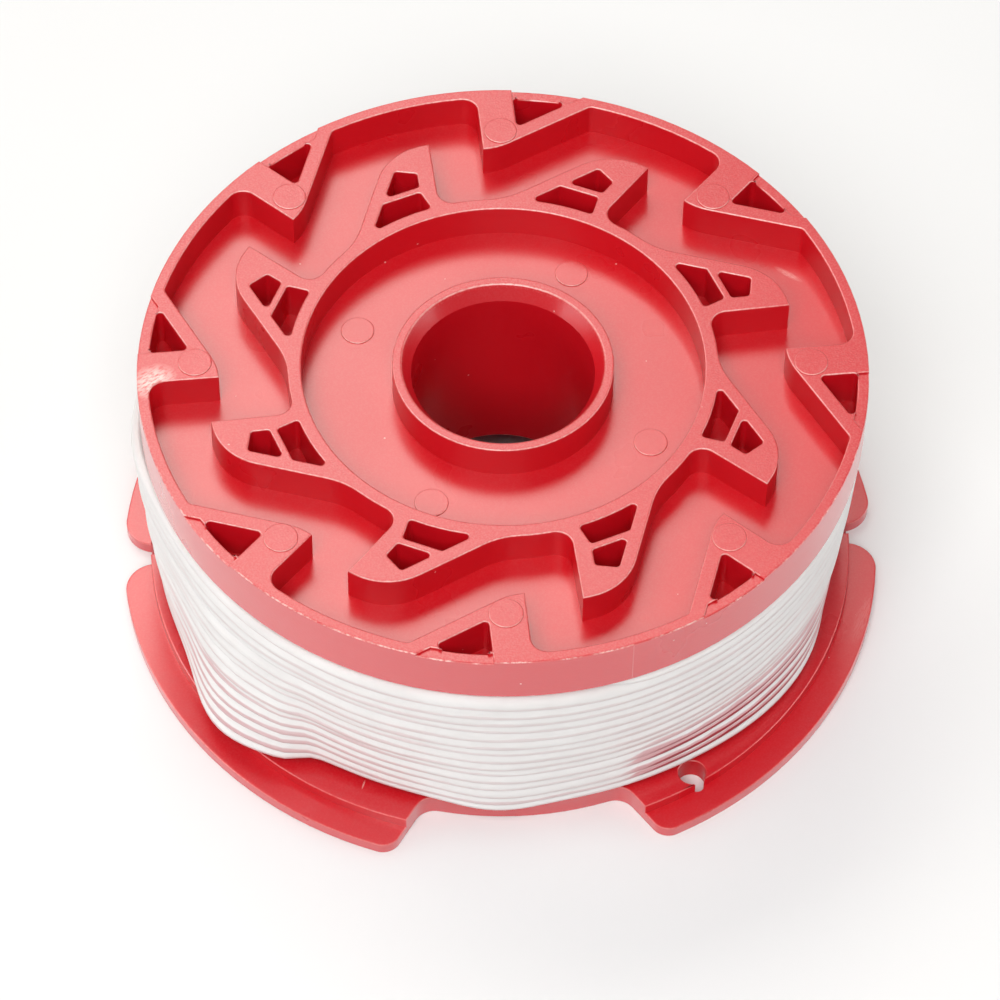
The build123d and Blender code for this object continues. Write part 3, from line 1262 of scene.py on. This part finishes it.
@dataclass
class Studio:
    """A pale floor, soft boxes and the camera at the photograph's place.

    Lengths are in metres, apart from the lens and the sensor, which are in millimetres.
    """

    floor_size: float = 4.0
    floor_colour: Colour = (0.84, 0.84, 0.84, 1.0)
    floor_roughness: float = 0.8
    floor_specular: float = 0.2
    floor_lift: float = 0.06
    lift_radii: Span = Span(40.0 * MM, 44.0 * MM)
    sky_colour: Colour = (1.0, 1.0, 1.0, 1.0)
    sky: float = 0.22
    lens: float = 164.7
    sensor: float = 36.0
    nearest_view: float = 0.01
    camera_elevation: float = 53.09
    camera_roll: float = 0.92
    camera_distance: float = 0.5459
    aim: Point = (-0.00011, 0.0, 0.01042)
    boxes: tuple[SoftBox, ...] = (
        SoftBox("back_box", 117.0, 56.0, 1.0, 0.74, 0.42, 4.0, (1.0, 0.97, 0.90)),
        SoftBox("key_box", -100.0, 55.0, 1.2, 0.8, 0.7, 6.6, (1.0, 1.0, 1.0)),
        SoftBox("left_box", -168.0, 14.0, 1.3, 0.9, 0.5, 2.6, (1.0, 1.0, 1.0)),
        SoftBox("right_box", 2.0, 12.0, 1.3, 0.9, 0.5, 2.4, (1.0, 1.0, 1.0)),
    )

    def build(self) -> None:
        """Lays the floor, lights the scene and sets the camera."""
        bpy.context.scene.view_settings.view_transform = "Standard"
        self.lay_floor()
        self.light()
        self.aim_camera()

    def lay_floor(self) -> None:
        """A flat square of matt white board, lifted a little towards white outside the flange."""
        half = self.floor_size / 2
        corners = np.array([(-half, -half, 0), (half, -half, 0), (half, half, 0), (-half, half, 0)], float)
        floor = mesh_object("floor", corners, [[0, 1, 2, 3]])
        constants = {
            "Base Color": self.floor_colour,
            "Roughness": self.floor_roughness,
            "Specular IOR Level": self.floor_specular,
        }
        material, graph, shader = new_material("white_board", constants)
        place = graph.add("ShaderNodeTexCoord").outputs["Object"]
        lift = graph.spread(graph.measure("LENGTH", place), self.lift_radii, Span(0.0, self.floor_lift))
        seen = graph.times(graph.add("ShaderNodeLightPath").outputs["Is Camera Ray"], lift)
        white = graph.add("ShaderNodeEmission", {"Strength": 1.0}).outputs[0]
        lifted = graph.add("ShaderNodeMixShader", {0: seen, 1: shader.outputs[0], 2: white}).outputs[0]
        graph.join(lifted, graph.tree.nodes["Material Output"].inputs["Surface"])
        floor.data.materials.append(material)

    def light(self) -> None:
        """An even white sky and the soft boxes."""
        world = bpy.data.worlds.new("studio")
        world.use_nodes = True
        background = world.node_tree.nodes["Background"]
        background.inputs["Color"].default_value = self.sky_colour
        background.inputs["Strength"].default_value = self.sky
        bpy.context.scene.world = world
        for box in self.boxes:
            box.place()

    def aim_camera(self) -> None:
        """The camera in front, above the spool, tipped by the photograph's small roll."""
        camera = bpy.data.cameras.new("photo_camera")
        camera.lens = self.lens
        camera.sensor_width = self.sensor
        camera.clip_start = self.nearest_view
        holder = bpy.data.objects.new("photo_camera", camera)
        bpy.context.scene.collection.objects.link(holder)
        rise, roll = math.radians(self.camera_elevation), math.radians(self.camera_roll)
        forward = Vector((0.0, math.cos(rise), -math.sin(rise)))
        right = Vector((1.0, 0.0, 0.0))
        up = right.cross(forward)
        side = right * math.cos(roll) + up * math.sin(roll)
        head = up * math.cos(roll) - right * math.sin(roll)
        stand = Matrix((side, head, -forward)).transposed().to_4x4()
        stand.translation = Vector(self.aim) - forward * self.camera_distance
        holder.matrix_world = stand
        bpy.context.scene.camera = holder


def main() -> None:
    """Builds and dresses the spool and sets it in the studio."""
    logging.basicConfig(level=logging.INFO, format="%(name)s: %(message)s")
    for assembly in (MouldedBody(), WoundLine()):
        piece = assembly.build()
        assembly.dress(piece)
        log.info("%s: %d faces", piece.name, len(piece.data.polygons))
    Studio().build()


if __name__ == "__main__":
    main()
